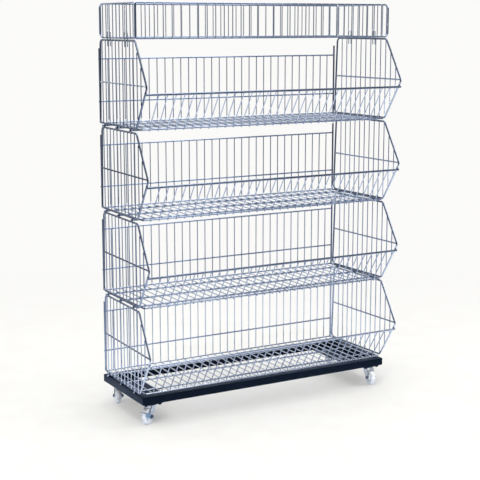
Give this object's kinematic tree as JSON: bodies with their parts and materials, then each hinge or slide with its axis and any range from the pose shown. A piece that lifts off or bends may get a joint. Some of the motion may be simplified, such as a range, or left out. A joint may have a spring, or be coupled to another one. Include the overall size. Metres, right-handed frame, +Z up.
{
  "type": "stacking basket display rack",
  "caption": "Free-standing shop rack of open-fronted chrome wire baskets stacked on a black tube base with swivel casters, with a low wire guard clipped round the top to keep goods in",
  "frame": {"origin": "on the floor under the middle of the rack's width and depth", "axes": "X to the right seen from the open front, Y to the rear, Z up"},
  "size_m": [0.917, 0.3755, 1.2749],
  "materials": {
    "chrome_wire": "bright chrome plate on welded steel wire",
    "black_coat": "satin black powder coat on steel",
    "zinc_plate": "bright zinc plate on pressed steel",
    "nylon": "white moulded nylon",
    "dark_steel": "dark oiled steel"
  },
  "bodies": {
    "base": {"base_front_rail": "black_coat", "base_right_rail": "black_coat", "base_rear_rail": "black_coat", "base_left_rail": "black_coat", "base_left_plate": "black_coat", "base_right_plate": "black_coat", "caster_front_left_plate": "black_coat", "caster_front_right_plate": "black_coat", "caster_rear_left_plate": "black_coat", "caster_rear_right_plate": "black_coat"},
    "tier1": {"tier1_back_panel": "chrome_wire", "tier1_floor_grid": "chrome_wire", "tier1_front_lip": "chrome_wire", "tier1_left_panel": "chrome_wire", "tier1_right_panel": "chrome_wire"},
    "tier2": {"tier2_back_panel": "chrome_wire", "tier2_floor_grid": "chrome_wire", "tier2_front_lip": "chrome_wire", "tier2_left_panel": "chrome_wire", "tier2_right_panel": "chrome_wire"},
    "tier3": {"tier3_back_panel": "chrome_wire", "tier3_floor_grid": "chrome_wire", "tier3_front_lip": "chrome_wire", "tier3_left_panel": "chrome_wire", "tier3_right_panel": "chrome_wire"},
    "tier4": {"tier4_back_panel": "chrome_wire", "tier4_floor_grid": "chrome_wire", "tier4_front_lip": "chrome_wire", "tier4_left_panel": "chrome_wire", "tier4_right_panel": "chrome_wire"},
    "guard": {"guard_front_panel": "chrome_wire", "guard_rear_panel": "chrome_wire", "guard_left_panel": "chrome_wire", "guard_right_panel": "chrome_wire", "guard_clip_left_rear": "chrome_wire", "guard_clip_left_front": "chrome_wire", "guard_clip_right_rear": "chrome_wire", "guard_clip_right_front": "chrome_wire"},
    "swivel_front_left": {"caster_front_left_fork": "zinc_plate", "caster_front_left_axle": "dark_steel"},
    "wheel_front_left": {"caster_front_left_wheel": "nylon"},
    "brake_front_left": {"caster_front_left_brake": "zinc_plate"},
    "swivel_front_right": {"caster_front_right_fork": "zinc_plate", "caster_front_right_axle": "dark_steel"},
    "wheel_front_right": {"caster_front_right_wheel": "nylon"},
    "swivel_rear_left": {"caster_rear_left_fork": "zinc_plate", "caster_rear_left_axle": "dark_steel"},
    "wheel_rear_left": {"caster_rear_left_wheel": "nylon"},
    "swivel_rear_right": {"caster_rear_right_fork": "zinc_plate", "caster_rear_right_axle": "dark_steel"},
    "wheel_rear_right": {"caster_rear_right_wheel": "nylon"}
  },
  "joints": [
    {"name": "tier1_lift", "type": "slide", "parent": "base", "child": "tier1", "axis": [0, 0, 1], "range_m": [0, 0.06]},
    {"name": "tier2_lift", "type": "slide", "parent": "tier1", "child": "tier2", "axis": [0, 0, 1], "range_m": [0, 0.06]},
    {"name": "tier3_lift", "type": "slide", "parent": "tier2", "child": "tier3", "axis": [0, 0, 1], "range_m": [0, 0.06]},
    {"name": "tier4_lift", "type": "slide", "parent": "tier3", "child": "tier4", "axis": [0, 0, 1], "range_m": [0, 0.06]},
    {"name": "guard_lift", "type": "slide", "parent": "tier4", "child": "guard", "axis": [0, 0, 1], "range_m": [0, 0.06]},
    {"name": "front_left_swivel", "type": "hinge", "parent": "base", "child": "swivel_front_left", "pos_m": [-0.411, -0.09372, 0.0535], "axis": [0, 0, 1], "continuous": true},
    {"name": "front_left_spin", "type": "hinge", "parent": "swivel_front_left", "child": "wheel_front_left", "pos_m": [-0.42718, -0.10547, 0.025], "axis": [0.5878, -0.809, 0], "continuous": true},
    {"name": "front_left_brake_press", "type": "hinge", "parent": "swivel_front_left", "child": "brake_front_left", "pos_m": [-0.42718, -0.10547, 0.025], "axis": [0.5878, -0.809, 0], "range_deg": [0, 15]},
    {"name": "front_right_swivel", "type": "hinge", "parent": "base", "child": "swivel_front_right", "pos_m": [0.411, -0.09372, 0.0535], "axis": [0, 0, 1], "continuous": true},
    {"name": "front_right_spin", "type": "hinge", "parent": "swivel_front_right", "child": "wheel_front_right", "pos_m": [0.40822, -0.11352, 0.025], "axis": [0.9903, -0.1392, 0], "continuous": true},
    {"name": "rear_left_swivel", "type": "hinge", "parent": "base", "child": "swivel_rear_left", "pos_m": [-0.411, 0.14628, 0.0535], "axis": [0, 0, 1], "continuous": true},
    {"name": "rear_left_spin", "type": "hinge", "parent": "swivel_rear_left", "child": "wheel_rear_left", "pos_m": [-0.421, 0.12896, 0.025], "axis": [0.866, -0.5, 0], "continuous": true},
    {"name": "rear_right_swivel", "type": "hinge", "parent": "base", "child": "swivel_rear_right", "pos_m": [0.411, 0.14628, 0.0535], "axis": [0, 0, 1], "continuous": true},
    {"name": "rear_right_spin", "type": "hinge", "parent": "swivel_rear_right", "child": "wheel_rear_right", "pos_m": [0.42697, 0.15832, 0.025], "axis": [-0.6018, 0.7986, 0], "continuous": true}
  ]
}
